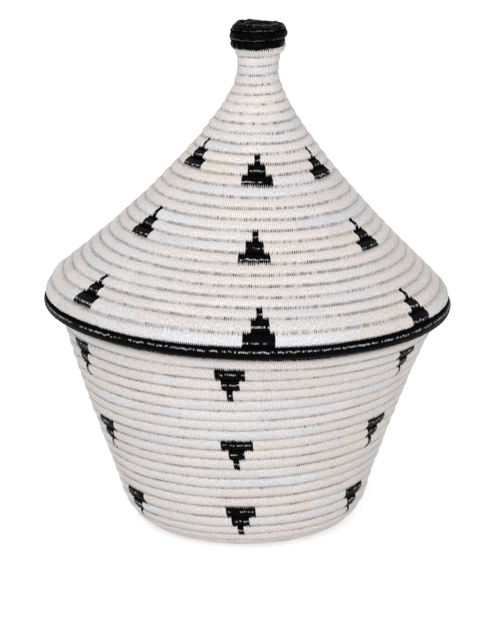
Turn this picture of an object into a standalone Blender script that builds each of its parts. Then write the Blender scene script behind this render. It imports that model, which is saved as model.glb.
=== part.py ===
"""A lidded coil basket: a flared lid with a black knob, on a basket with sloping sides.

Each half is one bundle of grass, wound in a spiral and sewn turn to turn. Runs of black wrap
make the knob, the two rims and three rows of stepped figures on each half. Both spirals end
at the back in a step one coil high, and the two rims climb together round the mouth.
Metres, +Z up, and the front of the basket faces -Y.
"""

import math

import bmesh
import bpy
import numpy as np

for old in list(bpy.data.objects):
    bpy.data.objects.remove(old, do_unlink=True)

# The place where both spirals end, at the back
START_ANGLE = math.radians(90)

# Basket coils, which climb to the right
BASKET_PITCH = 0.0070
BASKET_WALL = 0.0068
BASKET_SEAM_DEPTH = 0.0012
BASKET_RIM_STRAND = 0.0032

# Basket outline: a flat foot, a rounded heel, a sloping side and an upright last coil
FOOT_RADIUS = 0.0500
HEEL_CORNER_RADIUS = 0.0716
HEEL_TOP_RADIUS = 0.0768
HEEL_TOP_HEIGHT = 0.0276
SIDE_TOP_RADIUS = 0.1103
SIDE_TOP_HEIGHT = 0.1242
MOUTH_CORNER_RISE = 0.0040
MOUTH_RISE = 0.0088
MOUTH_FLARE = 0.0019
MOUTH_RADIUS = SIDE_TOP_RADIUS + MOUTH_FLARE
MOUTH_HEIGHT = SIDE_TOP_HEIGHT + MOUTH_RISE

# Basket base, a flat spiral round a knot
KNOT_RADIUS = 0.0100
BASE_THICKNESS = 0.0065
BASE_SEAM_DEPTH = 0.0008

# Lid coils, which come down to the left, fine at the neck and growing coarser down the flare. The
# last one above the rim is thicker still.
NECK_PITCH = 0.0050
LID_PITCH = 0.0073
PITCH_GROWTH_LENGTH = 0.080
LAST_LID_PITCH = 0.0101
LID_RIM_PITCH = 0.0074
NECK_WALL = 0.0048
LID_WALL = 0.0068
LID_SEAM_DEPTH = 0.0013
LID_RIM_STRAND = 0.0034

# Lid outline: an edge that hangs past the mouth, a shoulder, a long concave flare and a waisted neck
LID_OVERHANG = 0.0088
LID_EDGE_RISE = 0.0030
SHOULDER_CORNER_RISE = 0.0042
SHOULDER_RISE = 0.0116
SHOULDER_INSET = 0.0039
FLARE_HEIGHT = 0.1257
FLARE_START = 0.0184
FLARE_REACH = 0.0836
FLARE_ANGLE = math.radians(48.9)
WAIST_RADIUS = 0.0124
NECK_HEIGHT = 0.0106
NECK_TOP_RADIUS = 0.0136
LID_RADIUS = MOUTH_RADIUS + LID_OVERHANG
LID_EDGE_HEIGHT = MOUTH_HEIGHT + LID_EDGE_RISE
SHOULDER_RADIUS = LID_RADIUS - SHOULDER_INSET
SHOULDER_HEIGHT = LID_EDGE_HEIGHT + SHOULDER_RISE
WAIST_HEIGHT = SHOULDER_HEIGHT + FLARE_HEIGHT
NECK_TOP_HEIGHT = WAIST_HEIGHT + NECK_HEIGHT

# Knob, wound round a small eye, with a slightly hollow top
KNOB_EYE_RADIUS = 0.0045
KNOB_DISH = 0.0012
KNOB_CROWN_RADIUS = 0.0112
KNOB_RADIUS = 0.0170
KNOB_FOOT_RADIUS = 0.0150
KNOB_HEIGHT = 0.0167
KNOB_SIDE_HEIGHT = 0.0115
KNOB_PITCH = 0.0056
KNOB_SEAM_DEPTH = 0.0013

# Locating ring under the lid, which drops into the basket's mouth
RING_CLEARANCE = 0.0018
RING_DEPTH = 0.0055
RING_WALL = 0.0052
RING_PITCH = 0.0072
RING_SEAM_DEPTH = 0.0009

# The last part of a turn of a rim, which thins out so that it ends with no bump
TAIL_SHARE = 0.15
TAIL_THINNING = 0.65
STRAND_END_GAP = 0.0006

# Stepped figures: three steps of black wrap, each one coil high
STEP_WIDTHS = (0.0033, 0.0100, 0.0190)
FIGURES_IN_ROW = 6
ROWS = ("lower", "middle", "upper")
ROW_SPACING = 7
BASKET_COILS_ABOVE = 1
LID_COILS_BELOW = 0

# Each row's left, front and right figure, in degrees, from the rim on, and the share of a turn at
# which a row starts
BASKET_FIGURE_ANGLES = ((-152.8, -95.2, -32.2), (-151.8, -92.8, -34.0), (-147.8, -91.5, -32.2))
LID_FIGURE_ANGLES = ((-145.2, -87.2, -33.5), (-146.8, -89.0, -32.8), (-149.0, -89.0, -31.8))
BASKET_ROW_START = 1.0
LID_ROW_START = 0.58
BLACK_WRAP = 0.0005

# The unevenness of the hand-made basket. Its foot and its side stand to -X of its mouth and the
# lid leans to +X. The coils of the side rise a little to +X, and the rim and the lid dip there.
FOOT_LEAN = 0.0014
SIDE_LEAN = 0.0043
LID_LEAN = 0.0062
LID_BOW = 0.6
SIDE_DIP = math.radians(-0.98)
RIM_DIP = math.radians(1.7)
RIM_DIP_GROWTH = 6

FIT_GAP = 0.0003

# Faces: seam and crest lines for each coil, and columns of faces round each piece
LINES = 2
COLUMNS = 30
KNOB_COLUMNS = 24
CURVE_STEPS = 24
FINE_STEPS = 400
SHARP_EDGE = math.radians(50)

# Rings of faces on a plain inner side, crowded towards the heel or towards the shoulder
INNER_RINGS = 7
HEEL_CROWDING = 1.6
SHOULDER_CROWDING = 2.0

# Turns on each side of a place between which the outline's direction is taken
DIRECTION_REACH = 0.1

BLEACHED_SISAL = (0.70, 0.64, 0.58)
BLACK_SISAL = (0.012, 0.011, 0.013)


def bezier(*points):
    """Places along the curve of these control points, each a radius and a height."""
    degree = len(points) - 1
    t = np.linspace(0, 1, CURVE_STEPS + 1)[:, None]
    return sum(
        math.comb(degree, i) * t**i * (1 - t) ** (degree - i) * np.array(point)
        for i, point in enumerate(points)
    )


def joined(*curves):
    """One outline of curves that meet end to end."""
    return np.concatenate([curves[0]] + [curve[1:] for curve in curves[1:]])


class Coil:
    """A bundle wound in a spiral on a turned outline.

    Places on it are given in turns. Its seams gain one turn each time round, the way that the
    spiral grows: way is 1 to the right, seen from outside, and -1 to the left. Share is the
    part of a turn between START_ANGLE and a place, the same way round. Pitch gives the width of
    a coil from the lengths of outline before and left after it.
    """

    def __init__(self, way, outline, pitch, depth, wall=None, first_inset=None, columns=COLUMNS):
        self.way, self.outline, self.depth, self.wall, self.columns = way, outline, depth, wall, columns
        self.first_inset = depth if first_inset is None else first_inset
        runs = np.hypot(*np.diff(outline, axis=0).T)
        middles = np.cumsum(runs) - runs / 2
        turns = np.concatenate([[0.0], np.cumsum(runs / pitch(middles, sum(runs) - middles))])
        self.last = max(2, round(turns[-1]))
        self.turns = turns * self.last / turns[-1]

    def place(self, turns, inset=0.0, reach=0.0):
        """Radius and height on the outline, moved in by inset and on along it by reach."""
        before, here, after = (
            np.array([np.interp(turns + step, self.turns, side) for side in self.outline.T])
            for step in (-DIRECTION_REACH, 0.0, DIRECTION_REACH)
        )
        run = (after - before) / np.hypot(*(after - before))
        return here + self.way * inset * np.array([-run[1], run[0]]) + reach * run

    def inner(self, turns):
        """Radius and height on the plain inner side of the wall."""
        return self.place(turns, self.wall(turns / self.last))

    def angle(self, share):
        return START_ANGLE + self.way * 2 * math.pi * share

    def share(self, angle):
        return self.way * (angle - START_ANGLE) / (2 * math.pi) % 1.0


def leaned(radius, angle, height):
    """A point of the upright form, moved as the real basket leans. Its mouth stays over the origin."""
    x, y = radius * math.cos(angle), radius * math.sin(angle)
    low = min(1.0, height / SIDE_TOP_HEIGHT)
    high = max(0.0, (height - LID_EDGE_HEIGHT) / (NECK_TOP_HEIGHT - LID_EDGE_HEIGHT))
    drift = (low - 1) * (FOOT_LEAN + SIDE_LEAN * low) + LID_LEAN * high * (1 + LID_BOW - LID_BOW * high)
    dip = SIDE_DIP * low + (RIM_DIP - SIDE_DIP) * low**RIM_DIP_GROWTH
    return (x + drift, y, height - dip * x)


def corner_of(mesh, coil, place, share):
    return mesh.verts.new(leaned(place[0], coil.angle(share), place[1]))


def coiled_skin(mesh, coil, stepped):
    """The ribbed outer side of a coil: its first edge, its last edge and the corners of its step.

    Line i crosses column c after i / LINES + c / columns turns, so that it runs on into line
    i + LINES after a full turn. Even lines are seams and odd ones are crests. An end that isn't
    stepped is cut level, and the ribs die away towards it.
    """
    columns = coil.columns
    corners = {}

    def corner(line, column):
        if column == columns:
            line, column = line + LINES, 0
        turns = line / LINES + column / columns
        cut = "first" if turns <= 0 else "last" if turns >= coil.last and not stepped else line
        if (cut, column) not in corners:
            turns = min(max(turns, 0), coil.last)
            inset = coil.depth if line % LINES == 0 or cut == "last" else 0.0
            from_first = min(1.0, LINES * turns)
            from_last = 1.0 if stepped else min(1.0, LINES * (coil.last - turns))
            inset = coil.depth + (inset - coil.depth) * from_last
            inset = coil.first_inset + (inset - coil.first_inset) * from_first
            corners[cut, column] = corner_of(mesh, coil, coil.place(turns, inset), column / columns)
        return corners[cut, column]

    top = (coil.last - 1) * LINES if stepped else coil.last * LINES
    for line in range(-LINES, top):
        for column in range(columns):
            ring = [corner(line, column), corner(line, column + 1)]
            ring += [corner(line + 1, column + 1), corner(line + 1, column)]
            add_face(mesh, ring)
    first_edge = [corner(-LINES, column) for column in range(columns)]
    last_edge = [corner(top, column) for column in range(columns + stepped)]
    step = [corner(top + i, 0) for i in range(1, LINES)]
    return first_edge, last_edge, step


def add_face(mesh, ring):
    """A face, unless so many of its corners are the same that nothing is left of it."""
    ring = list(dict.fromkeys(ring))
    if len(ring) > 2:
        mesh.faces.new(ring)


def bridge(mesh, one, other, closed=True):
    """A strip of faces between two rows of corners."""
    for i in range(len(one) if closed else len(one) - 1):
        j = (i + 1) % len(one)
        add_face(mesh, [one[i], one[j], other[j], other[i]])


def inner_ring(mesh, coil, turns):
    place = coil.inner(turns)
    return [corner_of(mesh, coil, place, column / coil.columns) for column in range(coil.columns)]


def finished(name, mesh, finish, carrier):
    """An object from a mesh, faces turned outwards and shaded smooth, carried by an empty."""
    bmesh.ops.recalc_face_normals(mesh, faces=mesh.faces)
    data = bpy.data.meshes.new(name)
    mesh.to_mesh(data)
    mesh.free()
    data.shade_smooth()
    data.set_sharp_from_angle(angle=SHARP_EDGE)
    data.materials.append(finish)
    return placed(name, data, carrier)


def placed(name, data, carrier):
    made = bpy.data.objects.new(name, data)
    bpy.context.collection.objects.link(made)
    made.parent = carrier
    return made


def inner_turns(coil):
    """Turns at which the inner side has a ring, closest together where the outline bends."""
    steps = np.linspace(0, 1, INNER_RINGS)
    eased = steps**HEEL_CROWDING if coil.way > 0 else 1 - (1 - steps) ** SHOULDER_CROWDING
    return eased * (coil.last - 1)


def stepped_wall(name, coil, finish, carrier):
    """A wall with a level first edge, whose last coil ends in a step. Ribbed outside only."""
    mesh = bmesh.new()
    first_edge, last_edge, step = coiled_skin(mesh, coil, stepped=True)
    rings = [inner_ring(mesh, coil, turns) for turns in inner_turns(coil)]
    bridge(mesh, first_edge, rings[0])
    for one, other in zip(rings, rings[1:]):
        bridge(mesh, one, other)
    lip = [rings[-1][0]]
    for column in range(1, coil.columns + 1):
        share = column / coil.columns
        lip.append(corner_of(mesh, coil, coil.inner(coil.last - 1 + share), share))
    bridge(mesh, [*rings[-1], rings[-1][0]], lip, closed=False)
    bridge(mesh, last_edge, lip, closed=False)
    add_face(mesh, [last_edge[0], *step, last_edge[-1], lip[-1], lip[0]])
    return finished(name, mesh, finish, carrier)


def solid_coil(name, coil, finish, carrier):
    """A coil wound round a middle, such as a base or a knob, level at both ends."""
    mesh = bmesh.new()
    first_edge, last_edge, _ = coiled_skin(mesh, coil, stepped=False)
    mesh.faces.new(first_edge)
    if coil.wall:
        ring = inner_ring(mesh, coil, coil.last)
        bridge(mesh, last_edge, ring)
        last_edge = ring
    mesh.faces.new(last_edge)
    return finished(name, mesh, finish, carrier)


def coiled_ring(name, coil, finish, carrier):
    """A short wall, level at both ends."""
    mesh = bmesh.new()
    first_edge, last_edge, _ = coiled_skin(mesh, coil, stepped=False)
    first_ring, last_ring = inner_ring(mesh, coil, 0), inner_ring(mesh, coil, coil.last)
    for one, other in ((first_edge, first_ring), (first_ring, last_ring), (last_ring, last_edge)):
        bridge(mesh, one, other)
    return finished(name, mesh, finish, carrier)


def strand(name, coil, path, finish, carrier):
    """A round bundle once round the mouth, through a share, a place and a radius at each column."""
    points = np.array([leaned(place[0], coil.angle(share), place[1]) for share, place, _ in path])
    for end, beside in ((0, 1), (-1, -2)):
        run = points[beside] - points[end]
        points[end] += run * STRAND_END_GAP / np.linalg.norm(run)
    curve = bpy.data.curves.new(name, "CURVE")
    curve.dimensions = "3D"
    curve.bevel_depth = 1.0
    curve.bevel_resolution = 2
    curve.use_fill_caps = True
    spline = curve.splines.new("POLY")
    spline.points.add(len(path) - 1)
    spline.use_smooth = True
    for knot, point, (_, _, radius) in zip(spline.points, points, path):
        knot.co = (*point, 1)
        knot.radius = radius
    curve.materials.append(finish)
    return placed(name, curve, carrier)


def rim_path(coil, radius):
    """The last turn of a spiral, lying along the end of its wall."""
    path = []
    for share in np.linspace(0, 1, coil.columns + 1):
        tail = max(0.0, (share - 1) / TAIL_SHARE + 1)
        thinned = radius * (1 - TAIL_THINNING * tail)
        path.append((share, coil.place(coil.last - 1 + share, radius, FIT_GAP + thinned), thinned))
    return path


def underside(coil):
    """Closely spaced places on the inner side of the lid, ring to ring."""
    rings = np.array([coil.inner(turns) for turns in [*inner_turns(coil), coil.last]])
    steps = np.linspace(0, len(rings) - 1, FINE_STEPS)
    return np.array([np.interp(steps, range(len(rings)), side) for side in rings.T])


def seat_path(basket_rim, lid_coil):
    """A strand that lies on the basket's rim and fills the wedge between it and the lid."""
    lid_inside = underside(lid_coil)
    path = []
    for share, (radius, height), rim_radius in basket_rim:
        low, high = 0.0, basket_rim[0][2] * 2
        while high - low > FIT_GAP / 100:
            middle = (low + high) / 2
            centre = height + rim_radius + FIT_GAP + middle
            room = np.hypot(lid_inside[0] - radius, lid_inside[1] - centre).min() - FIT_GAP
            low, high = (middle, high) if room > middle else (low, middle)
        path.append((share, (radius, height + rim_radius + FIT_GAP + low), low))
    return path


def figure(name, coil, wide_coil, angle, finish, carrier):
    """A stepped figure: three runs of black wrap on three coils, the widest on wide_coil."""
    mesh = bmesh.new()
    halves = [width / 2 for width in STEP_WIDTHS]
    edges = [-half for half in reversed(halves)] + halves
    share = coil.share(angle)
    corners = {}

    def corner(line, edge):
        if (line, edge) not in corners:
            middle = line / LINES + share
            radius = coil.place(middle)[0]
            offset = edges[edge] / (2 * math.pi * radius)
            inset = coil.depth if line % LINES == 0 else 0.0
            place = coil.place(middle + offset, inset - FIT_GAP)
            corners[line, edge] = corner_of(mesh, coil, place, share + offset)
        return corners[line, edge]

    steps = len(halves)
    for step in range(steps):
        first = (wide_coil - steps + 1 + step) * LINES
        for line in range(first, first + LINES):
            for edge in range(steps - 1 - step, steps + step):
                ring = [corner(line, edge), corner(line, edge + 1)]
                ring += [corner(line + 1, edge + 1), corner(line + 1, edge)]
                mesh.faces.new(ring)
    data = bpy.data.meshes.new(name)
    mesh.to_mesh(data)
    mesh.free()
    data.shade_smooth()
    data.materials.append(finish)
    made = placed(name, data, carrier)
    wrap = made.modifiers.new("wrap", "SOLIDIFY")
    wrap.thickness = BLACK_WRAP
    wrap.offset = 1.0
    return made


def row_angles(seen):
    """Angles of a row from the front one on: those given, and the rest evenly spaced behind."""
    left, front, right = np.radians(seen)
    behind = np.linspace(right, left + 2 * math.pi, FIGURES_IN_ROW - 1)[1:-1]
    return [front, right, *behind, left]


def figures(half, coil, plain_coils, angles, row_start, finish, carrier):
    """Rows of figures. Each row follows the spiral once round, so it climbs by one coil."""
    for row, word in enumerate(ROWS):
        wide_coil = coil.last - 2 - plain_coils - row * ROW_SPACING
        if half == "basket":
            word = ROWS[-1 - row]
        for i, angle in enumerate(row_angles(angles[row])):
            this_coil = wide_coil - (coil.share(angle) > row_start)
            figure(f"{half}_figure_{word}_{i + 1}", coil, this_coil, angle, finish, carrier)


def sewn_wrap(name, colour, roughness):
    made = bpy.data.materials.new(name)
    made.use_nodes = True
    shader = made.node_tree.nodes["Principled BSDF"]
    shader.inputs["Base Color"].default_value = (*colour, 1)
    shader.inputs["Roughness"].default_value = roughness
    shader.inputs["Metallic"].default_value = 0.0
    return made


def body(name):
    """An empty on the axis of the lid's lift, which carries one half of the basket."""
    made = bpy.data.objects.new(name, None)
    bpy.context.collection.objects.link(made)
    return made


def basket_coil():
    foot, heel = (FOOT_RADIUS, 0.0), (HEEL_TOP_RADIUS, HEEL_TOP_HEIGHT)
    side = (SIDE_TOP_RADIUS, SIDE_TOP_HEIGHT)
    slope = (SIDE_TOP_RADIUS - HEEL_TOP_RADIUS) / (SIDE_TOP_HEIGHT - HEEL_TOP_HEIGHT)
    corner_radius = SIDE_TOP_RADIUS + slope * MOUTH_CORNER_RISE
    corner_height = SIDE_TOP_HEIGHT + MOUTH_CORNER_RISE
    outline = joined(
        bezier(foot, (HEEL_CORNER_RADIUS, 0.0), heel),
        bezier(heel, side),
        bezier(side, (corner_radius, corner_height), (MOUTH_RADIUS, MOUTH_HEIGHT)),
    )
    return Coil(1, outline, lambda at, left: BASKET_PITCH, BASKET_SEAM_DEPTH, lambda share: BASKET_WALL)


def base_coil():
    outline = bezier((KNOT_RADIUS, 0.0), (FOOT_RADIUS - FIT_GAP, 0.0))
    return Coil(
        1, outline, lambda at, left: BASKET_PITCH, BASE_SEAM_DEPTH, lambda share: BASE_THICKNESS, first_inset=0.0
    )


def lid_coil():
    waist, shoulder = (WAIST_RADIUS, WAIST_HEIGHT), (SHOULDER_RADIUS, SHOULDER_HEIGHT)
    pull = (
        SHOULDER_RADIUS - FLARE_REACH * math.sin(FLARE_ANGLE),
        SHOULDER_HEIGHT + FLARE_REACH * math.cos(FLARE_ANGLE),
    )
    neck_corner = (WAIST_RADIUS, WAIST_HEIGHT + NECK_HEIGHT / 2)
    corner_height = LID_EDGE_HEIGHT + SHOULDER_CORNER_RISE
    outline = joined(
        bezier((NECK_TOP_RADIUS, NECK_TOP_HEIGHT), neck_corner, waist),
        bezier(waist, (WAIST_RADIUS, WAIST_HEIGHT - FLARE_START), pull, shoulder),
        bezier(shoulder, (LID_RADIUS, corner_height), (LID_RADIUS, LID_EDGE_HEIGHT)),
    )

    def pitch(at, left):
        plain = np.interp(at, (0, PITCH_GROWTH_LENGTH), (NECK_PITCH, LID_PITCH))
        above_rim = np.where(left < LID_RIM_PITCH + LAST_LID_PITCH, LAST_LID_PITCH, plain)
        return np.where(left < LID_RIM_PITCH, LID_RIM_PITCH, above_rim)

    def wall(share):
        return NECK_WALL + (LID_WALL - NECK_WALL) * share

    return Coil(-1, outline, pitch, LID_SEAM_DEPTH, wall)


def knob_coil():
    foot_height = NECK_TOP_HEIGHT + FIT_GAP
    top_height = foot_height + KNOB_HEIGHT
    crown = (KNOB_CROWN_RADIUS, top_height)
    side = (KNOB_RADIUS, foot_height + KNOB_SIDE_HEIGHT)
    outline = joined(
        bezier((KNOB_EYE_RADIUS, top_height - KNOB_DISH), crown),
        bezier(crown, (KNOB_RADIUS, top_height), side),
        bezier(side, (KNOB_RADIUS, foot_height), (KNOB_FOOT_RADIUS, foot_height)),
    )
    return Coil(-1, outline, lambda at, left: KNOB_PITCH, KNOB_SEAM_DEPTH, columns=KNOB_COLUMNS)


def ring_coil(basket, lid):
    """The locating ring, from the lid's inside down to a little below the basket's mouth."""
    low = MOUTH_HEIGHT - RING_DEPTH
    inside = np.array([basket.inner(turns) for turns in np.linspace(0, basket.last, FINE_STEPS)]).T
    radius = np.interp(low, inside[1], inside[0]) - RING_CLEARANCE
    high = np.interp(radius - RING_SEAM_DEPTH, *underside(lid)) - 2 * FIT_GAP
    outline = bezier((radius, high), (radius, low))
    return Coil(-1, outline, lambda at, left: RING_PITCH, RING_SEAM_DEPTH, lambda share: RING_WALL)


def build():
    white = sewn_wrap("bleached_sisal_wrap", BLEACHED_SISAL, roughness=0.75)
    black = sewn_wrap("black_dyed_sisal_wrap", BLACK_SISAL, roughness=0.45)
    basket, lid = body("basket"), body("lid")
    basket_wall, lid_wall = basket_coil(), lid_coil()

    solid_coil("basket_base", base_coil(), white, basket)
    stepped_wall("basket_wall", basket_wall, white, basket)
    basket_rim = rim_path(basket_wall, BASKET_RIM_STRAND)
    strand("basket_rim_coil", basket_wall, basket_rim, black, basket)
    figures("basket", basket_wall, BASKET_COILS_ABOVE, BASKET_FIGURE_ANGLES, BASKET_ROW_START, black, basket)

    stepped_wall("lid_cone", lid_wall, white, lid)
    strand("lid_rim_coil", lid_wall, rim_path(lid_wall, LID_RIM_STRAND), black, lid)
    strand("lid_seat_coil", basket_wall, seat_path(basket_rim, lid_wall), white, lid)
    coiled_ring("lid_locating_ring", ring_coil(basket_wall, lid_wall), white, lid)
    solid_coil("lid_knob", knob_coil(), black, lid)
    figures("lid", lid_wall, LID_COILS_BELOW, LID_FIGURE_ANGLES, LID_ROW_START, black, lid)


build()
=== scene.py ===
import math

import bmesh
import bpy
import numpy as np
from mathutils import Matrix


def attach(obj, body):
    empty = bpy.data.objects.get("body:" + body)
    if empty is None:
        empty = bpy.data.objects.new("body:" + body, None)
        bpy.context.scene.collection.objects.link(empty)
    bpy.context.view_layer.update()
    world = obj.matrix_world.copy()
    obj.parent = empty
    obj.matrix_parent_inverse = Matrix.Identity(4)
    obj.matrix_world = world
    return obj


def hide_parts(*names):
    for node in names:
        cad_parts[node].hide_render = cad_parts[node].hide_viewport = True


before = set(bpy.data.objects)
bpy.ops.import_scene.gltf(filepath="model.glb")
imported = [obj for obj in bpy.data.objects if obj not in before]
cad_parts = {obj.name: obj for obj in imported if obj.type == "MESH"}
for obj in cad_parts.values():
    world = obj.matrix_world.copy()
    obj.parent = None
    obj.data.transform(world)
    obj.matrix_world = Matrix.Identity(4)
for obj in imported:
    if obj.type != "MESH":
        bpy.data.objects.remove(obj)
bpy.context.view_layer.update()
luck = np.random.default_rng(22)

# Each half is one bundle of grass, wound in a spiral and sewn turn to turn with sisal. Places on a
# winding are given in turns: a whole turn on is one coil further along its outline.

# Both spirals end at the back
START_ANGLE = math.radians(90)

# From one stitch to the next, along the bundle
STITCH = 0.00115

# Corners of a ring of wrap, and how far apart they are taken to be round the bundle
AROUND = 12
SIDE_STEP = 0.0018

# How uneven the sewing is. The wander of the seams, the jog of each ring and the spread of the tooth
# lengths are in coils, the spread of the crests is a share, and the swell is in metres. Wander and
# swell change at places so many turns apart. Lumpy coils swell this many times as much.
SEAM_WANDER = 0.028
SEAM_WANDER_EVERY = 0.045
RING_JOG = 0.010
TOOTH_SPREAD = 0.045
CREST_SPREAD = 0.010
SWELL = 0.00020
SWELL_EVERY = 0.06
LUMPY_SWELL = 3.0

# A tooth that reaches further also stands further out. A closed hole is bridged by the wrap.
TOOTH_RISE = 0.7
CLOSED_HOLE_REACH = 0.08
CLOSED_HOLE_RISE = 0.30

# How strongly the dark grass colour, partly painted shade of the hole, shows at the two corners
# above a coil's far edge, behind an open hole. The further the next coil's teeth reach, the stronger.
GRASS_AND_SHADE_ABOVE = 0.85
GRASS_AND_SHADE_ABOVE_BY_REACH = 1.5
GRASS_AND_SHADE_HIGHER_BY_REACH = 3.0

# The last share of a turn of each rim, and the share of its width that the bundle loses there
TAIL = 0.15
TAIL_THINNING = 0.65

# Places on a curve and along a winding, and the turns on each side of a place between which the
# outline's direction is taken
CURVE_PLACES = 33
WINDING_PLACES = 4000
DIRECTION_REACH = 0.1

# Close to the axis, stitches are counted, and slanted, as if they were at least this far from it
LEAST_RADIUS = 0.0016
LEAST_CREST_RADIUS = 0.002

# Basket outline, from the middle of the base to the mouth
BASKET_PITCH = 0.0070
BASKET_COIL_DEPTH = 0.0068
FOOT_RADIUS = 0.0500
HEEL_CORNER_RADIUS = 0.0716
HEEL_TOP = (0.0768, 0.0276)
SIDE_TOP = (0.1103, 0.1242)
MOUTH_CORNER_RISE = 0.0040
MOUTH = (0.1122, 0.1330)
BASKET_RIM_COIL = 0.0067

# Lid outline, from the neck to the edge
NECK_PITCH = 0.0050
LID_PITCH = 0.0073
PITCH_GROWTH_LENGTH = 0.080
LAST_LID_PITCH = 0.0101
LID_RIM_PITCH = 0.0074
NECK_COIL_DEPTH = 0.0036
FLARE_COIL_DEPTH = 0.0054
LID_COIL_DEPTH = 0.0068
NECK_TOP = (0.0136, 0.2839)
NECK_CORNER = (0.0124, 0.2786)
WAIST = (0.0124, 0.2733)
FLARE_START = 0.0184
FLARE_REACH = 0.0836
FLARE_ANGLE = math.radians(48.9)
SHOULDER = (0.1171, 0.1476)
SHOULDER_CORNER_HEIGHT = 0.1402
LID_EDGE = (0.1210, 0.1360)
LID_RIM_COIL = 0.0071

# Knob outline, from the middle of its top to its foot
KNOB_PITCH = 0.0056
KNOB_COIL_DEPTH = 0.0050
KNOB_MIDDLE = (0.0, 0.2992)
KNOB_EYE = (0.0045, 0.2997)
KNOB_CROWN = (0.0112, 0.3009)
KNOB_CORNER = (0.0170, 0.3009)
KNOB_SIDE = (0.0170, 0.2957)
KNOB_FOOT_CORNER = (0.0170, 0.2842)
KNOB_FOOT = (0.0150, 0.2842)

# Locating ring under the lid, and the packing coil between the lid and the basket's rim: its
# radius round the mouth, its height and its thickness at some shares of a turn, and the share of
# its thickness that the grooves between its stitches take
RING_RADIUS = 0.1024
RING_TOP = 0.1521
RING_FOOT = 0.1275
RING_COILS = 3
RING_COIL_DEPTH = 0.0052
SEAT_SHARES = (0.0, 0.5, 0.85, 1.0)
SEAT_RADII = (0.1088, 0.1092, 0.1093, 0.1092)
SEAT_HEIGHTS = (0.1383, 0.1404, 0.1418, 0.1397)
SEAT_THICKNESSES = (0.0044, 0.0033, 0.0025, 0.0035)
SEAT_GROOVE = 0.05

# The unevenness of the hand-made basket. Its foot and its side stand to -X of its mouth and the
# lid leans to +X. The coils of the side rise a little to +X, and the rim and the lid dip there.
FOOT_LEAN = 0.0014
SIDE_LEAN = 0.0043
LID_LEAN = 0.0062
LID_BOW = 0.6
SIDE_DIP = math.radians(-0.98)
RIM_DIP = math.radians(1.7)
RIM_DIP_GROWTH = 6

# Stepped figures: three runs of black wrap on three coils. Each row's left, front and right figure
# stand at these angles in degrees, from the rim on.
STEP_WIDTHS = (0.0031, 0.0102, 0.0182)
ROWS = ("upper", "middle", "lower")
FIGURES_IN_ROW = 6
ROW_SPACING = 7
BASKET_FIGURE_ANGLES = ((-152.8, -95.2, -32.2), (-151.8, -92.8, -34.0), (-147.8, -91.5, -32.2))
LID_FIGURE_ANGLES = ((-145.2, -87.2, -33.5), (-146.8, -89.0, -32.8), (-149.0, -89.0, -31.8))


def srgb(colour):
    """Linear colour of an sRGB hex value."""
    parts = [int(colour[i:i + 2], 16) / 255 for i in (0, 2, 4)]
    return [c / 12.92 if c <= 0.04045 else ((c + 0.055) / 1.055) ** 2.4 for c in parts] + [1.0]


def add_node(tree, kind, settings=None, sockets=None):
    """Adds a node with its settings. Each socket takes a value, or a link from another node's output."""
    node = tree.nodes.new(kind)
    for name, value in (settings or {}).items():
        setattr(node, name, value)
    for name, value in (sockets or {}).items():
        if isinstance(value, bpy.types.NodeSocket):
            tree.links.new(value, node.inputs[name])
        else:
            node.inputs[name].default_value = value
    return node


def new_material(name, ior, metallic):
    material = bpy.data.materials.new(name)
    material.use_nodes = True
    shader = material.node_tree.nodes["Principled BSDF"]
    shader.inputs["IOR"].default_value = ior
    shader.inputs["Metallic"].default_value = metallic
    return material, material.node_tree, shader


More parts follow.
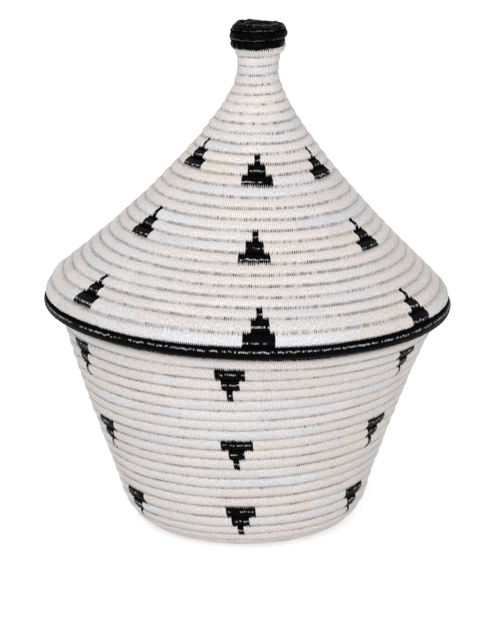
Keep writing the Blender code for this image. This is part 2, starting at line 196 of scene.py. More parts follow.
def bleached_sisal():
    """Sisal bleached, split into strands about 1 mm wide and sewn tight over the grass.

    It gives matte white wrap in short runs of pinkish, creamy and bluish white, one run to each
    strand. The fine crease between stitches is painted darker, partly painted shade and partly
    grass showing, and the needle gaps are dark brown: the grass there and painted shade in them.
    """
    material, tree, shader = new_material("bleached_sisal_wrap", ior=1.5, metallic=0.0)
    wrap = add_node(tree, "ShaderNodeAttribute", {"attribute_name": "wrap"})
    parts = add_node(tree, "ShaderNodeSeparateColor", None, {"Color": wrap.outputs["Color"]})
    tone, warmth, gap = parts.outputs
    strand = add_node(tree, "ShaderNodeValToRGB", None, {"Fac": warmth})
    ramp = strand.color_ramp.elements
    ramp[0].color = srgb("EAEAEE")
    ramp[1].color = srgb("F2EADF")
    ramp.new(0.35).color = srgb("EEEAE8")
    ramp.new(0.65).color = srgb("F0E8E5")
    shade = add_node(tree, "ShaderNodeMapRange", None, {"Value": tone, "To Min": 0.91, "To Max": 1.02})
    toned = add_node(tree, "ShaderNodeVectorMath", {"operation": "SCALE"}, {
        0: strand.outputs["Color"], "Scale": shade.outputs["Result"]})

    # Sisal fibres are about 0.2 mm wide, and drawn 0.6 mm wide so that they show
    along = add_node(tree, "ShaderNodeUVMap", {"uv_map": "length"})
    stretched = add_node(tree, "ShaderNodeMapping", None, {
        "Vector": along.outputs["UV"], "Scale": (1 / 0.0006, 1 / 0.0012, 1)})
    fibres = add_node(tree, "ShaderNodeTexNoise", {"noise_dimensions": "2D"}, {
        "Vector": stretched.outputs["Vector"], "Scale": 1.0, "Detail": 1.0})
    streak = add_node(tree, "ShaderNodeMapRange", None, {
        "Value": fibres.outputs["Fac"], "From Min": 0.25, "From Max": 0.75, "To Min": 0.76, "To Max": 1.16})
    streaked = add_node(tree, "ShaderNodeVectorMath", {"operation": "SCALE"}, {
        0: toned.outputs["Vector"], "Scale": streak.outputs["Result"]})

    # A crease between stitches 1.15 mm apart, painted darker: partly painted shade in the crease,
    # partly grass showing through
    place = add_node(tree, "ShaderNodeSeparateXYZ", None, {"Vector": along.outputs["UV"]})
    off_crease = add_node(tree, "ShaderNodeMath", {"operation": "PINGPONG"}, {
        0: place.outputs["X"], 1: STITCH / 2})
    crease_shade_and_grass = add_node(tree, "ShaderNodeMapRange", {"interpolation_type": "SMOOTHSTEP"}, {
        "Value": off_crease.outputs["Value"], "From Min": 0.0, "From Max": 0.0003,
        "To Min": 0.82, "To Max": 1.0})
    crease_darkened = add_node(tree, "ShaderNodeVectorMath", {"operation": "SCALE"}, {
        0: streaked.outputs["Vector"], "Scale": crease_shade_and_grass.outputs["Result"]})
    # Dark brown in the needle gaps: the grass that shows there, and painted shade in the holes
    grass_and_hole_shade = add_node(tree, "ShaderNodeMix", {"data_type": "RGBA"}, {
        "Factor": warmth, 6: srgb("3A2318"), 7: srgb("7A4A2C")})
    gap_edge = add_node(tree, "ShaderNodeMapRange", {"interpolation_type": "SMOOTHSTEP"}, {
        "Value": gap, "From Min": 0.35, "From Max": 0.65})
    coloured = add_node(tree, "ShaderNodeMix", {"data_type": "RGBA"}, {
        "Factor": gap_edge.outputs["Result"], 6: crease_darkened.outputs["Vector"], 7: grass_and_hole_shade.outputs[2]})
    tree.links.new(coloured.outputs[2], shader.inputs["Base Color"])
    shader.inputs["Roughness"].default_value = 0.62
    bump = add_node(tree, "ShaderNodeBump", None, {
        "Height": fibres.outputs["Fac"], "Strength": 0.5, "Distance": 0.00015})
    tree.links.new(bump.outputs["Normal"], shader.inputs["Normal"])
    return material


def black_sisal():
    """The same strands dyed black and pulled tight.

    The dye takes up nearly all light. Near the crest of each coil a thin broken line of pale dots
    is painted on the stitches: a painted highlight that stands in for the glints of the lamps.
    """
    material, tree, shader = new_material("black_dyed_sisal_wrap", ior=1.5, metallic=0.0)
    wrap = add_node(tree, "ShaderNodeAttribute", {"attribute_name": "wrap"})
    parts = add_node(tree, "ShaderNodeSeparateColor", None, {"Color": wrap.outputs["Color"]})
    # Red is the dye's tone, green the place of the painted highlight round the bundle and blue its strength
    tone, crest, highlight_amount = parts.outputs
    dye = add_node(tree, "ShaderNodeMix", {"data_type": "RGBA"}, {
        "Factor": tone, 6: srgb("020203"), 7: srgb("060507")})
    along = add_node(tree, "ShaderNodeUVMap", {"uv_map": "length"})
    place = add_node(tree, "ShaderNodeSeparateXYZ", None, {"Vector": along.outputs["UV"]})

    # The painted highlight row is about 0.8 mm wide and wanders by nearly as much. Its place round
    # the bundle is in the wrap colour.
    wander = add_node(tree, "ShaderNodeTexNoise", {"noise_dimensions": "1D"}, {
        "W": place.outputs["X"], "Scale": 1 / 0.003, "Detail": 1.0})
    side = add_node(tree, "ShaderNodeMath", {"operation": "MULTIPLY"}, {0: crest, 1: AROUND * SIDE_STEP})
    wandered = add_node(tree, "ShaderNodeMath", {"operation": "MULTIPLY_ADD"}, {
        0: wander.outputs["Fac"], 1: 0.0016, 2: side.outputs["Value"]})
    off_crest = add_node(tree, "ShaderNodeMath", {"operation": "SUBTRACT"}, {
        0: place.outputs["Y"], 1: wandered.outputs["Value"]})
    distance = add_node(tree, "ShaderNodeMath", {"operation": "ABSOLUTE"}, {0: off_crest.outputs["Value"]})
    row = add_node(tree, "ShaderNodeMapRange", {"interpolation_type": "SMOOTHSTEP"}, {
        "Value": distance.outputs["Value"], "From Min": 0.00022, "From Max": 0.0006,
        "To Min": 1.0, "To Max": 0.0})

    # Most stitches get a painted highlight, each by its own amount, and more in some stretches of a
    # few centimetres
    stitch = add_node(tree, "ShaderNodeMath", {"operation": "DIVIDE"}, {0: place.outputs["X"], 1: STITCH})
    each = add_node(tree, "ShaderNodeMath", {"operation": "FLOOR"}, {0: stitch.outputs["Value"]})
    chance = add_node(tree, "ShaderNodeTexWhiteNoise", {"noise_dimensions": "1D"}, {
        "W": each.outputs["Value"]})
    stretch = add_node(tree, "ShaderNodeTexNoise", {"noise_dimensions": "1D"}, {
        "W": place.outputs["X"], "Scale": 1 / 0.02, "Detail": 1.0})
    highlight_odds = add_node(tree, "ShaderNodeMath", {"operation": "ADD"}, {
        0: chance.outputs["Value"], 1: stretch.outputs["Fac"]})
    strength = add_node(tree, "ShaderNodeMapRange", None, {
        "Value": highlight_odds.outputs["Value"], "From Min": 0.65, "From Max": 1.5, "To Min": 0.0, "To Max": 1.0})
    off_crease = add_node(tree, "ShaderNodeMath", {"operation": "PINGPONG"}, {
        0: place.outputs["X"], 1: STITCH / 2})
    round_dot = add_node(tree, "ShaderNodeMapRange", {"interpolation_type": "SMOOTHSTEP"}, {
        "Value": off_crease.outputs["Value"], "From Min": 0.00008, "From Max": 0.00035})
    in_row = add_node(tree, "ShaderNodeMath", {"operation": "MULTIPLY"}, {
        0: row.outputs["Result"], 1: round_dot.outputs["Result"]})
    dot = add_node(tree, "ShaderNodeMath", {"operation": "MULTIPLY"}, {
        0: in_row.outputs["Value"], 1: strength.outputs["Result"]})
    highlight_dots = add_node(tree, "ShaderNodeMath", {"operation": "MULTIPLY"}, {0: dot.outputs["Value"], 1: highlight_amount})
    # The pale colour of the painted highlight, laid over the dye
    coloured = add_node(tree, "ShaderNodeMix", {"data_type": "RGBA"}, {
        "Factor": highlight_dots.outputs["Value"], 6: dye.outputs[2], 7: srgb("D8D6DA")})
    tree.links.new(coloured.outputs[2], shader.inputs["Base Color"])
    shader.inputs["Roughness"].default_value = 0.35
    shader.inputs["Specular IOR Level"].default_value = 0.02

    # Fibres drawn 0.3 mm wide
    stretched = add_node(tree, "ShaderNodeMapping", None, {
        "Vector": along.outputs["UV"], "Scale": (1 / 0.0003, 1 / 0.006, 1)})
    fibres = add_node(tree, "ShaderNodeTexNoise", {"noise_dimensions": "2D"}, {
        "Vector": stretched.outputs["Vector"], "Scale": 1.0, "Detail": 2.0})
    bump = add_node(tree, "ShaderNodeBump", None, {
        "Height": fibres.outputs["Fac"], "Strength": 0.4, "Distance": 0.0001})
    tree.links.new(bump.outputs["Normal"], shader.inputs["Normal"])
    return material


def select_corners(piece, chosen):
    """Selects, in edit mode, the corners of a piece that are in the chosen places."""
    bpy.ops.mesh.select_mode(type="VERT")
    bpy.ops.mesh.select_all(action="DESELECT")
    mesh = bmesh.from_edit_mesh(piece.data)
    for corner in mesh.verts:
        corner.select_set(chosen(corner.co))
    mesh.select_flush_mode()
    bmesh.update_edit_mesh(piece.data)


# A stitch is modelled on a bundle one coil wide, and its corners are moved by these shares of a coil
EDGE_LIFT = 0.09
SHOULDER_LIFT = 0.05
CROWN_LIFT = 0.014
INSIDE_WIDENING = 1.15
CREST_WIDENING = 1.03
CREST_THICKENING = 1.04
TOOTH_MOVE = (-0.10, 0.29, 0)
TOOTH_ROOT_LIFT = 0.06
HOLE_MOVE = (0.02, -0.06, 0)


def deselect_all():
    for piece in bpy.context.selected_objects:
        piece.select_set(False)


def stitch_loop():
    """One stitch of wrap round the bundle, from groove to groove, with its crest between them.

    X runs across the coil, Y outwards and Z along it. The crest ends in a tooth that reaches over
    the coil before, and beside it is the hole where the needle went in. Gives the rings of corners
    of a groove and of the crest.
    """
    deselect_all()
    bpy.ops.mesh.primitive_cylinder_add(
        vertices=AROUND, radius=0.5, depth=0.5, end_fill_type="NOTHING", location=(0, 0, 0.25))
    loop = bpy.context.object
    bpy.ops.object.transform_apply()
    bpy.ops.object.mode_set(mode="EDIT")

    # A tight wrap flattens the outside of the bundle a little. The corners of the plain ring lie at
    # 0, 0.25, 0.43 and 0.5 to each side.
    select_corners(loop, lambda co: abs(co.x) > 0.49)
    bpy.ops.transform.translate(value=(0, EDGE_LIFT, 0))
    select_corners(loop, lambda co: 0.4 < abs(co.x) < 0.49 and co.y > 0)
    bpy.ops.transform.translate(value=(0, SHOULDER_LIFT, 0))
    select_corners(loop, lambda co: 0.2 < abs(co.x) < 0.3 and co.y > 0)
    bpy.ops.transform.translate(value=(0, CROWN_LIFT, 0))
    select_corners(loop, lambda co: co.y < -0.1)
    bpy.ops.transform.resize(value=(INSIDE_WIDENING, 1, 1), center_override=(0, 0, 0))
    select_corners(loop, lambda co: co.z > 0.4)
    bpy.ops.mesh.extrude_region_move(TRANSFORM_OT_translate={"value": (0, 0, 0.5)})
    select_corners(loop, lambda co: abs(co.z - 0.5) < 0.1)
    bpy.ops.transform.resize(value=(CREST_WIDENING, CREST_THICKENING, 1), center_override=(0, 0, 0.5))

    # The tooth on the crest, and the hole in the groove
    select_corners(loop, lambda co: abs(co.z - 0.5) < 0.1 and co.x < -0.51 and co.y > 0)
    bpy.ops.transform.translate(value=TOOTH_MOVE)
    select_corners(loop, lambda co: abs(co.z - 0.5) < 0.1 and -0.5 < co.x < -0.4 and co.y > 0.2)
    bpy.ops.transform.translate(value=(0, TOOTH_ROOT_LIFT, 0))
    select_corners(loop, lambda co: co.z < 0.1 and co.x < -0.49 and co.y > 0.05)
    bpy.ops.transform.translate(value=HOLE_MOVE)
    bpy.ops.object.mode_set(mode="OBJECT")
    corners = np.array([corner.co for corner in loop.data.vertices])
    bpy.data.objects.remove(loop)
    rings = []
    for height in (0.0, 0.5):
        ring = corners[abs(corners[:, 2] - height) < 0.1]
        rings.append(ring[np.argsort(np.arctan2(ring[:, 1], ring[:, 0]) % (2 * math.pi))][:, :2])
    return np.array(rings)


LOOP = stitch_loop()

# How far the crest's ring stands out, which is where the outline is
SKIN = LOOP[1, :, 1].max()

# Corners of a ring: the middle of the crest, the tooth or needle hole with the two beside it, and
# the edge that the next coil is sewn to
MIDDLE = 3
ABOVE_HOLE = 5
TOOTH = 6
BELOW_HOLE = 7
FAR_EDGE = 0
ABOVE_FAR_EDGE = 1
BELOW_FAR_EDGE = 11

# Places on the ring, in corners, at which a pale highlight is painted on black wrap
BASKET_HIGHLIGHT_PLACE = 2.1
FIGURE_HIGHLIGHT_PLACE = 2.1
KNOB_HIGHLIGHT_PLACE = 1.5
LID_RIM_HIGHLIGHT_PLACE = 3.3


def bezier(*points):
    """Places along the curve of these control points, each a radius and a height."""
    degree = len(points) - 1
    t = np.linspace(0, 1, CURVE_PLACES)[:, None]
    return sum(
        math.comb(degree, i) * t**i * (1 - t) ** (degree - i) * np.array(point)
        for i, point in enumerate(points))


def joined(*curves):
    """One outline of curves that meet end to end."""
    return np.concatenate([curves[0]] + [curve[1:] for curve in curves[1:]])


def leaned(radius, angle, height):
    """Points of the upright form, moved as the real basket leans. The base stays flat."""
    height = np.maximum(height, 0.0)
    x, y = radius * np.cos(angle), radius * np.sin(angle)
    low = np.minimum(1.0, height / SIDE_TOP[1])
    high = np.maximum(0.0, (height - LID_EDGE[1]) / (NECK_TOP[1] - LID_EDGE[1]))
    drift = (low - 1) * (FOOT_LEAN + SIDE_LEAN * low) + LID_LEAN * high * (1 + LID_BOW - LID_BOW * high)
    dip = SIDE_DIP * low + (RIM_DIP - SIDE_DIP) * low**RIM_DIP_GROWTH
    return np.stack([x + drift, y, height - dip * x], axis=-1)


def wandering(turns, every, size):
    """A slow random change along the turns, the same at the same place."""
    knots = np.arange(math.floor(turns.min()) - 1, math.ceil(turns.max()) + 2, every)
    values = luck.normal(0, size, len(knots))
    return lambda at: np.interp(at, knots, values)


class Winding:
    """The sewn bundle of one half, laid stitch by stitch along an outline.

    The outline is made of parts, each with the number of turns that its coils take. Turns 0 is
    where the second part starts. Way is 1 for coils that climb to the right and -1 for coils that
    come down to the left. Reach is how much further than the stitch's own tooth, in coils, the
    teeth go over the coil before, and openness is how far the needle holes are open. The coils are
    lumpy up to the last place given.
    """

    def __init__(self, way, parts, first, last, coil_depth, slant, reach, openness,
                 lumpy_until=-math.inf):
        self.way, self.coil_depth, self.slant = way, coil_depth, slant
        self.reach, self.openness, self.lumpy_until = reach, openness, lumpy_until
        places, turns = [], []
        at = -parts[0][1][-1]
        for outline, part_turns in parts:
            places.append(outline if not places else outline[1:])
            turns.append(at + (part_turns if len(turns) == 0 else part_turns[1:]))
            at += part_turns[-1]
        self.outline, self.turns = np.concatenate(places), np.concatenate(turns)
        self.low, self.high = self.turns[0], self.turns[-1]
        fine = np.linspace(first, last, WINDING_PLACES)
        radius = np.interp(np.clip(fine + 0.5, self.low, self.high), self.turns, self.outline[:, 0])
        radius = np.maximum(radius, LEAST_RADIUS)
        runs = np.diff(fine) * (radius[1:] + radius[:-1]) * math.pi
        length = np.concatenate([[0], np.cumsum(runs)])
        self.count = int(length[-1] / STITCH)
        self.rings = np.interp(np.linspace(0, length[-1], 2 * self.count + 1), length, fine)

    def angle(self, turns):
        return START_ANGLE + self.way * 2 * math.pi * turns

    def place(self, turns, inset):
        """Radius and height on the outline, moved in from it."""
        before, here, after = (
            np.stack([np.interp(turns + step, self.turns, side) for side in self.outline.T])
            for step in (-DIRECTION_REACH, 0.0, DIRECTION_REACH))
        run = (after - before) / np.hypot(*(after - before))
        return here + self.way * inset * np.stack([-run[1], run[0]])

    def lay(self, narrowing):
        """Corners and wrap colours of every ring. Narrowing gives a coil's width at some turns."""
        ring = np.arange(len(self.rings))
        crest = ring % 2
        turns = self.rings
        colours, holes = wrap_colours(self.count, self.openness)

        # The dark grass colour, partly painted shade of the hole, also goes on the far edge of each coil,
        # where the next coil has an open hole
        beyond = np.round(np.interp(turns + 1, turns, ring)).astype(int)
        shown = np.where((beyond % 2 == 0) & (beyond < ring[-1]), holes[beyond], 0)
        colours[:, FAR_EDGE, 2] = shown
        colours[:, ABOVE_FAR_EDGE, 2] = (GRASS_AND_SHADE_ABOVE + GRASS_AND_SHADE_ABOVE_BY_REACH * self.reach) * shown
        colours[:, ABOVE_FAR_EDGE + 1, 2] = GRASS_AND_SHADE_HIGHER_BY_REACH * self.reach * shown
        colours[:, BELOW_FAR_EDGE, 2] = shown
        seam = wandering(turns, SEAM_WANDER_EVERY, SEAM_WANDER)
        swell = wandering(turns, SWELL_EVERY, SWELL)
        jog = luck.normal(0, RING_JOG, len(ring))
        x = LOOP[crest, :, 0].copy()
        y = LOOP[crest, :, 1].copy()
        x[:, TOOTH] -= crest * luck.normal(self.reach, TOOTH_SPREAD, len(ring))
        y[:, TOOTH] += crest * TOOTH_RISE * self.reach
        x[:, TOOTH] -= (1 - crest) * CLOSED_HOLE_REACH * (1 - holes)
        y[:, TOOTH] += (1 - crest) * CLOSED_HOLE_RISE * (1 - holes)
        y *= 1 + crest[:, None] * luck.normal(0, CREST_SPREAD, len(ring))[:, None]

        low = turns + seam(turns) + jog
        high = turns + narrowing(turns) + seam(turns + 1) + jog
        low, high = np.maximum(low, self.low), np.minimum(high, self.high)
        across = low[:, None] + (x + 0.5) * (high - low)[:, None]
        across = np.clip(across, self.low, self.high)
        thinned = 1 - TAIL_THINNING
        thick = self.coil_depth(turns) * np.clip(thinned + TAIL_THINNING * (high - low), thinned, 1.0)
        lumps = abs(swell(turns)) * np.where(turns < self.lumpy_until, LUMPY_SWELL, 1.0)
        inset = (SKIN - y) * thick[:, None] + lumps[:, None]
        radius, height = self.place(across, inset)
        middle = np.maximum(radius[:, MIDDLE], LEAST_CREST_RADIUS)
        along = -self.slant * x / (2 * math.pi * middle)[:, None]
        angle = self.angle(turns[:, None] + along)
        return leaned(np.maximum(radius, 0.0), angle, height), colours


# A strand lasts for this range of stitches, and a batch of alike ones is this many strands
STRAND_STITCHES = (9, 42)
BATCH_STRANDS = 6

# Mean and spread of the tones of strands, and their spread from ring to ring. A strand's warmth is
# this share its batch's and the rest its own.
MEAN_TONE = 0.62
TONE_SPREAD = 0.20
RING_TONE_SPREAD = 0.07
BATCH_SHARE = 0.45

# How open a hole is, from least to most, and how much of it shows in the corner above
OPEN_HOLE = (0.8, 1.0)
CLOSED_HOLE = (0.0, 0.3)
HOLE_ABOVE = 0.75


def wrap_colours(count, openness):
    """Tone, warmth and hole of every corner of the rings of so many stitches, and each ring's hole.

    A strand of sisal lasts for a run of stitches. The holes are open in some runs and closed in
    others, and openness is about how far on the whole.
    """
    rings = 2 * count + 1
    lengths = luck.integers(*STRAND_STITCHES, count)
    strand = np.searchsorted(np.cumsum(lengths), np.arange(count + 1), side="right")
    batch = np.repeat(luck.uniform(0, 1, count // BATCH_STRANDS + 2), BATCH_STRANDS)[: count + 2]
    tone = np.clip(luck.normal(MEAN_TONE, TONE_SPREAD, count + 2), 0, 1)[strand]
    own = luck.uniform(0, 1, count + 2)
    warmth = np.clip(BATCH_SHARE * batch + (1 - BATCH_SHARE) * own, 0, 1)[strand]
    fray = luck.uniform(0, 1, count + 2)[strand]
    stitch = np.arange(rings) // 2
    opened = luck.uniform(0, 1, count + 1) < openness - 0.5 + fray
    holes = np.where(
        opened, luck.uniform(*OPEN_HOLE, count + 1), luck.uniform(*CLOSED_HOLE, count + 1))[stitch]
    colours = np.zeros((rings, AROUND, 4), np.float32)
    colours[..., 0] = (tone[stitch] + luck.normal(0, RING_TONE_SPREAD, rings))[:, None]
    colours[..., 1] = warmth[stitch][:, None]
    colours[::2, TOOTH, 2] = holes[::2]
    colours[::2, BELOW_HOLE, 2] = holes[::2]
    colours[::2, ABOVE_HOLE, 2] = HOLE_ABOVE * holes[::2]
    colours[..., 3] = 1.0
    return colours, holes


# The wrap is laid out for the baked picture in bands of so many stitches at least, one under the
# other with a margin. The shape number makes the whole about square.
LEAST_BAND = 8
BAND_SHAPE = 1.9
BAND_MARGIN = 0.02


def sewn(name, corners, colours, runs, way, body, node, material, crest=None, highlight_amount=1.0):
    """One piece of wrapped coil, closed at each end of its runs of stitches.

    Crest is the corner of the ring at which a pale highlight is painted on black wrap, and the
    last argument how strong that painted highlight is.
    """
    if crest is not None:
        colours = colours.copy()
        colours[..., 1] = crest / AROUND
        colours[..., 2] = highlight_amount
    points, tints, faces, bake, length = [], [], [], [], []
    first_corner, first_stitch = 0, 0
    stitches = sum(end - start for start, end in runs)
    band = max(LEAST_BAND, math.ceil(math.sqrt(stitches * AROUND * BAND_SHAPE)))
    bands = math.ceil(stitches / band)
    ring_way = slice(None, None, way)
    for start, end in runs:
        rings = slice(2 * start, 2 * end + 1)
        count = 2 * (end - start) + 1
        points.append(corners[rings].reshape(-1, 3))
        tints.append(colours[rings].reshape(-1, 4))
        here = np.arange(count - 1).repeat(AROUND)
        column = np.tile(np.arange(AROUND), count - 1)
        ring = np.stack([here, here, here + 1, here + 1], axis=-1)[:, ring_way]
        side = np.stack([column, column + 1, column + 1, column], axis=-1)[:, ring_way]
        faces += (first_corner + ring * AROUND + side % AROUND).tolist()
        stitch = first_stitch + ring / 2
        row = (first_stitch + here // 2) // band
        bake.append(np.stack([
            (stitch - row[:, None] * band) / band,
            (row[:, None] + BAND_MARGIN + (1 - 2 * BAND_MARGIN) * side / AROUND) / bands],
            axis=-1).reshape(-1, 2))
        length.append(np.stack([(2 * start + ring) * STITCH / 2, side * SIDE_STEP], axis=-1).reshape(-1, 2))
        cap = np.arange(AROUND)
        faces.append((first_corner + cap[:: -way]).tolist())
        faces.append((first_corner + (count - 1) * AROUND + cap[::way]).tolist())
        bake.append(np.zeros((2 * AROUND, 2)))
        length.append(np.zeros((2 * AROUND, 2)))
        first_corner += count * AROUND
        first_stitch += end - start
    mesh = bpy.data.meshes.new(name)
    mesh.from_pydata(np.concatenate(points).tolist(), [], faces)
    mesh.attributes.new("wrap", "FLOAT_COLOR", "POINT")
    mesh.attributes["wrap"].data.foreach_set("color", np.concatenate(tints).ravel())
    for layer, places in (("OFBake", bake), ("length", length)):
        mesh.uv_layers.new(name=layer)
        mesh.uv_layers[layer].data.foreach_set("uv", np.concatenate(places).ravel())
    mesh.materials.append(material)
    mesh.shade_smooth()
    piece = bpy.data.objects.new(name, mesh)
    bpy.context.scene.collection.objects.link(piece)
    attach(piece, body)
    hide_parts(node)
    return piece


def counted(outline, pitch, whole=True):
    """Turns at each place of an outline, for coils of a pitch given by the lengths before and left."""
    runs = np.hypot(*np.diff(outline, axis=0).T)
    middles = np.cumsum(runs) - runs / 2
    turns = np.concatenate([[0.0], np.cumsum(runs / pitch(middles, sum(runs) - middles))])
    return outline, turns * round(turns[-1]) / turns[-1] if whole else turns


def basket_winding():
    base = bezier((0.0, 0.0), (FOOT_RADIUS, 0.0))
    slope = (SIDE_TOP[0] - HEEL_TOP[0]) / (SIDE_TOP[1] - HEEL_TOP[1])
    corner = (SIDE_TOP[0] + slope * MOUTH_CORNER_RISE, SIDE_TOP[1] + MOUTH_CORNER_RISE)
    side = joined(
        bezier((FOOT_RADIUS, 0.0), (HEEL_CORNER_RADIUS, 0.0), HEEL_TOP),
        bezier(HEEL_TOP, SIDE_TOP),
        bezier(SIDE_TOP, corner, MOUTH))
    rise = np.subtract(MOUTH, corner) / np.hypot(*np.subtract(MOUTH, corner))
    rim = bezier(MOUTH, MOUTH + rise * BASKET_RIM_COIL)
    parts = [
        counted(base, lambda at, left: BASKET_PITCH, whole=False),
        counted(side, lambda at, left: BASKET_PITCH),
        (rim, np.linspace(0, 1, len(rim)))]
    last = round(parts[1][1][-1])
    low = -parts[0][1][-1]
    return last, Winding(1, parts, low - 0.5, last, lambda turns: BASKET_COIL_DEPTH, slant=0.0007,
                         reach=0.0, openness=0.55)


def lid_winding():
    knob = joined(
        bezier(KNOB_MIDDLE, KNOB_EYE),
        bezier(KNOB_EYE, KNOB_CROWN),
        bezier(KNOB_CROWN, KNOB_CORNER, KNOB_SIDE),
        bezier(KNOB_SIDE, KNOB_FOOT_CORNER, KNOB_FOOT, NECK_TOP))
    pull = (
        SHOULDER[0] - FLARE_REACH * math.sin(FLARE_ANGLE),
        SHOULDER[1] + FLARE_REACH * math.cos(FLARE_ANGLE))
    cone = joined(
        bezier(NECK_TOP, NECK_CORNER, WAIST),
        bezier(WAIST, (WAIST[0], WAIST[1] - FLARE_START), pull, SHOULDER),
        bezier(SHOULDER, (LID_EDGE[0], SHOULDER_CORNER_HEIGHT), LID_EDGE))
    rim = bezier(LID_EDGE, (LID_EDGE[0], LID_EDGE[1] - LID_RIM_COIL))

    def pitch(at, left):
        plain = np.interp(at, (0, PITCH_GROWTH_LENGTH), (NECK_PITCH, LID_PITCH))
        above_rim = np.where(left < LID_RIM_PITCH + LAST_LID_PITCH, LAST_LID_PITCH, plain)
        return np.where(left < LID_RIM_PITCH, LID_RIM_PITCH, above_rim)

    parts = [
        counted(knob, lambda at, left: KNOB_PITCH, whole=False),
        counted(cone, pitch),
        (rim, np.linspace(0, 1, len(rim)))]
    last = round(parts[1][1][-1])
    low = -parts[0][1][-1]

    def coil_depth(turns):
        depths = (KNOB_COIL_DEPTH, NECK_COIL_DEPTH, FLARE_COIL_DEPTH, LID_COIL_DEPTH)
        return np.interp(turns, (-1.0, 0.0, 6.0, last), depths)

    return last, Winding(-1, parts, low - 0.5, last, coil_depth, slant=0.0002,
                         reach=0.10, openness=0.75, lumpy_until=-1)


def row_angles(seen):
    """Angles of a row from the front one on: those given, and the rest evenly spaced behind."""
    left, front, right = np.radians(seen)
    behind = np.linspace(right, left + 2 * math.pi, FIGURES_IN_ROW - 1)[1:-1]
    return [front, right, *behind, left]


def black_runs(winding, last, plain, angles, row_start, half):
    """Stitches of each figure: its three runs, the narrowest first."""
    figures = {}
    for row, word in enumerate(ROWS if half == "basket" else reversed(ROWS)):
        wide = last - 2 - plain - ROW_SPACING * row
        for i, angle in enumerate(row_angles(angles[row])):
            share = winding.way * (angle - START_ANGLE) / (2 * math.pi) % 1.0
            runs = []
            for step, width in enumerate(STEP_WIDTHS):
                turns = wide - (share > row_start) - 2 + step + share
                centre = np.interp(turns, winding.rings[::2], np.arange(winding.count + 1))
                half_count = width / STITCH / 2
                runs.append((round(centre - half_count), round(centre + half_count)))
            figures[f"{half}_figure_{word}_{i + 1}"] = runs
    return figures


def white_runs(winding, first, last, cuts):
    """Runs of stitches between two places in turns that no figure takes."""
    start, end = (int(round(np.interp(at, winding.rings[::2], np.arange(winding.count + 1))))
                  for at in (first, last))
    runs = []
    for cut_start, cut_end in sorted(cuts):
        if start < cut_start < end:
            runs.append((start, cut_start))
            start = cut_end
    return runs + [(start, end)]


WHITE, BLACK = bleached_sisal(), black_sisal()


def sew(winding, last, white_pieces, black_pieces, plain, angles, row_start, half):
    """Sews one half: its white coils, its black coils and its figures."""

    def narrowing(turns):
        thin = np.clip((turns - (last - TAIL)) / TAIL, 0, 1)
        return 1 - TAIL_THINNING * thin

    corners, colours = winding.lay(narrowing)
    figures = black_runs(winding, last, plain, angles, row_start, half)
    cuts = [run for runs in figures.values() for run in runs]
    for name, node, first, end in white_pieces:
        runs = white_runs(winding, first, end, cuts)
        sewn(name, corners, colours, runs, winding.way, half, node, WHITE)
    for name, node, first, end, crest, highlight_amount in black_pieces:
        runs = white_runs(winding, first, end, [])
        sewn(name, corners, colours, runs, winding.way, half, node, BLACK, crest, highlight_amount)
    # Figures get their painted highlight at a place round the ring of their own
    for node, runs in figures.items():
        sewn(f"{node}_wrap", corners, colours, runs, winding.way, half, node, BLACK,
             crest=FIGURE_HIGHLIGHT_PLACE)


def locating_ring():
    """The short ring under the lid, one bundle wound down from it, which dies away at both ends."""
    outline = bezier((RING_RADIUS, RING_TOP), (RING_RADIUS, RING_FOOT))
    turns = np.linspace(0, RING_COILS, len(outline))
    ring = Winding(
        -1, [(outline, turns)], -RING_COILS - 0.85, -0.15, lambda turns: RING_COIL_DEPTH, slant=0.0002,
        reach=0.0, openness=0.5)
    corners, colours = ring.lay(lambda turns: 1.0)
    sewn("locating_ring_coils", corners, colours, [(0, ring.count)], -1, "lid",
         "lid_locating_ring", WHITE)


def seat_coil():
    """The packing coil, a round bundle once round the mouth, thinner where the lid comes closer."""
    radius = np.interp(0.5, SEAT_SHARES, SEAT_RADII)
    count = int(2 * math.pi * radius / STITCH) - 1
    ring = np.arange(2 * count + 1)
    share = np.linspace(0, 1, len(ring) + 1)[:-1]
    around = np.arange(AROUND) * 2 * math.pi / AROUND
    thickness = np.interp(share, SEAT_SHARES, SEAT_THICKNESSES) * (1 - SEAT_GROOVE * (1 - ring % 2))
    out = np.interp(share, SEAT_SHARES, SEAT_RADII)[:, None] + thickness[:, None] * np.sin(around)
    up = np.interp(share, SEAT_SHARES, SEAT_HEIGHTS)[:, None] + thickness[:, None] * np.cos(around)
    angle = START_ANGLE + 2 * math.pi * share[:, None] + 0 * around
    colours, _ = wrap_colours(count, openness=0.5)

    # No coil is sewn to this single round, so it has no needle holes
    colours[..., 2] = 0
    sewn("seat_coil_wrap", leaned(out, angle, up), colours, [(0, count)], 1, "lid",
         "lid_seat_coil", WHITE)


# Each wall is sewn in pieces of a few coils, so that none is too heavy
basket_last, basket = basket_winding()
sew(basket, basket_last, [
    ("base_coils", "basket_base", basket.low - 0.5, -0.5),
    ("heel_coils", "basket_wall", -0.5, 6.25),
    ("low_side_coils", "basket_wall", 6.25, 11.25),
    ("high_side_coils", "basket_wall", 11.25, 16.25),
    ("mouth_coils", "basket_wall", 16.25, basket_last - 1)],
    # The rim coil's painted highlight: its place round the ring and its strength
    [("basket_rim_wrap", "basket_rim_coil", basket_last - 1, basket_last, BASKET_HIGHLIGHT_PLACE, 0.5)],
    plain=1, angles=BASKET_FIGURE_ANGLES, row_start=1.0, half="basket")

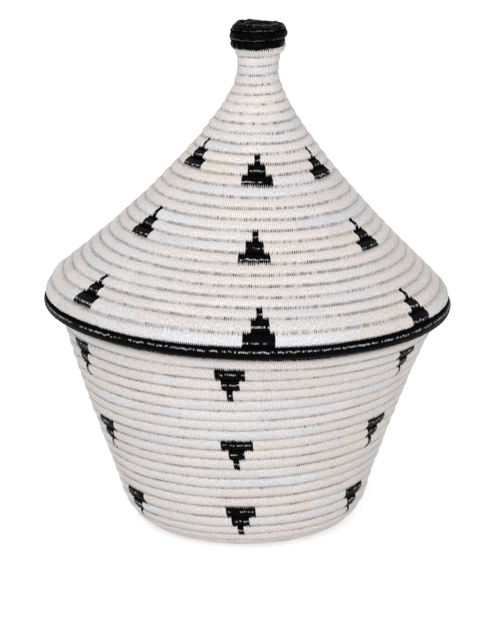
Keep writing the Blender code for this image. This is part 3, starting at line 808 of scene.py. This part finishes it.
# The lid's bundle starts in the knob, in black wrap, which ends at the back one turn above the neck
lid_last, lid = lid_winding()
sew(lid, lid_last, [
    ("neck_and_flare_coils", "lid_cone", -1, 17.25),
    ("cone_coils", "lid_cone", 17.25, 22.25),
    ("shoulder_coils", "lid_cone", 22.25, lid_last - 1)],
    # The knob's and the rim coil's painted highlights: their places round the ring and their strengths
    [("knob_wrap", "lid_knob", lid.low - 0.5, -1, KNOB_HIGHLIGHT_PLACE, 0.3),
     ("lid_rim_wrap", "lid_rim_coil", lid_last - 1, lid_last, LID_RIM_HIGHLIGHT_PLACE, 1.0)],
    plain=0, angles=LID_FIGURE_ANGLES, row_start=0.58, half="lid")
locating_ring()
seat_coil()

# The camera stands at the photo's angle to the middle of the basket. It looks a little lower, so
# that the basket stands above the middle of the picture. Angles are in degrees.
CAMERA_ELEVATION = 14.80
CAMERA_DROP = 0.864
CAMERA_DISTANCE = 1.4
MIDDLE_HEIGHT = 0.150

camera_data = bpy.data.cameras.new("camera")
camera_data.sensor_fit = "HORIZONTAL"
camera_data.sensor_width = 36
camera_data.lens = 171.05
camera = bpy.data.objects.new("camera", camera_data)
bpy.context.scene.collection.objects.link(camera)
camera.location = (
    0,
    -CAMERA_DISTANCE * math.cos(math.radians(CAMERA_ELEVATION)),
    MIDDLE_HEIGHT + CAMERA_DISTANCE * math.sin(math.radians(CAMERA_ELEVATION)))
camera.rotation_euler = (math.radians(90 - CAMERA_ELEVATION - CAMERA_DROP), 0, 0)
bpy.context.scene.camera = camera


def area_light(name, azimuth, elevation, distance, size, power):
    """A soft box that faces the middle of the basket."""
    data = bpy.data.lights.new(name, "AREA")
    data.shape = "RECTANGLE"
    data.size, data.size_y = size
    data.energy = power
    light = bpy.data.objects.new(name, data)
    bpy.context.scene.collection.objects.link(light)
    azimuth, elevation = math.radians(azimuth), math.radians(elevation)
    light.location = (
        distance * math.cos(elevation) * math.sin(azimuth),
        -distance * math.cos(elevation) * math.cos(azimuth),
        MIDDLE_HEIGHT + distance * math.sin(elevation))
    light.rotation_euler = (math.pi / 2 - elevation, 0, azimuth)
    return light


area_light("front_softbox", azimuth=0, elevation=22, distance=2.2, size=(1.6, 0.5), power=11)
area_light("front_strip", azimuth=0, elevation=16, distance=2.2, size=(1.0, 0.05), power=4)
area_light("top_softbox", azimuth=-25, elevation=60, distance=2.0, size=(1.6, 1.6), power=7)


def seen_or_reflected(tree):
    """Output that is 1 for rays that show the backdrop as white, straight, through glass or mirrored."""
    rays = add_node(tree, "ShaderNodeLightPath")
    seen = add_node(tree, "ShaderNodeMath", {"operation": "MAXIMUM"}, {
        0: rays.outputs["Is Camera Ray"], 1: rays.outputs["Is Transmission Ray"]})
    reflected = add_node(tree, "ShaderNodeMath", {"operation": "MAXIMUM"}, {
        0: seen.outputs["Value"], 1: rays.outputs["Is Glossy Ray"]})
    return reflected.outputs["Value"]


world = bpy.data.worlds.new("studio")
bpy.context.scene.world = world
world.use_nodes = True
sky = world.node_tree.nodes["Background"]

# The backdrop is pure white where it is seen, and dimmer as a light
strength = add_node(world.node_tree, "ShaderNodeMapRange", None, {
    "Value": seen_or_reflected(world.node_tree), "To Min": 0.58, "To Max": 1.0})
sky.inputs["Color"].default_value = (1, 1, 1, 1)
world.node_tree.links.new(strength.outputs["Result"], sky.inputs["Strength"])

deselect_all()
bpy.ops.mesh.primitive_plane_add(size=12, location=(0, 0, 0))
floor = bpy.context.object
floor.name = "floor"
paper = bpy.data.materials.new("white_paper")
paper.use_nodes = True
paper_shader = paper.node_tree.nodes["Principled BSDF"]
paper_shader.inputs["Base Color"].default_value = srgb("F4F4F4")
paper_shader.inputs["Roughness"].default_value = 0.9
paper_shader.inputs["Emission Color"].default_value = (1, 1, 1, 1)
glow = add_node(paper.node_tree, "ShaderNodeMath", {"operation": "MULTIPLY"}, {
    0: seen_or_reflected(paper.node_tree), 1: 0.5})
paper.node_tree.links.new(glow.outputs["Value"], paper_shader.inputs["Emission Strength"])
floor.data.materials.append(paper)

bpy.context.scene.view_settings.view_transform = "Standard"
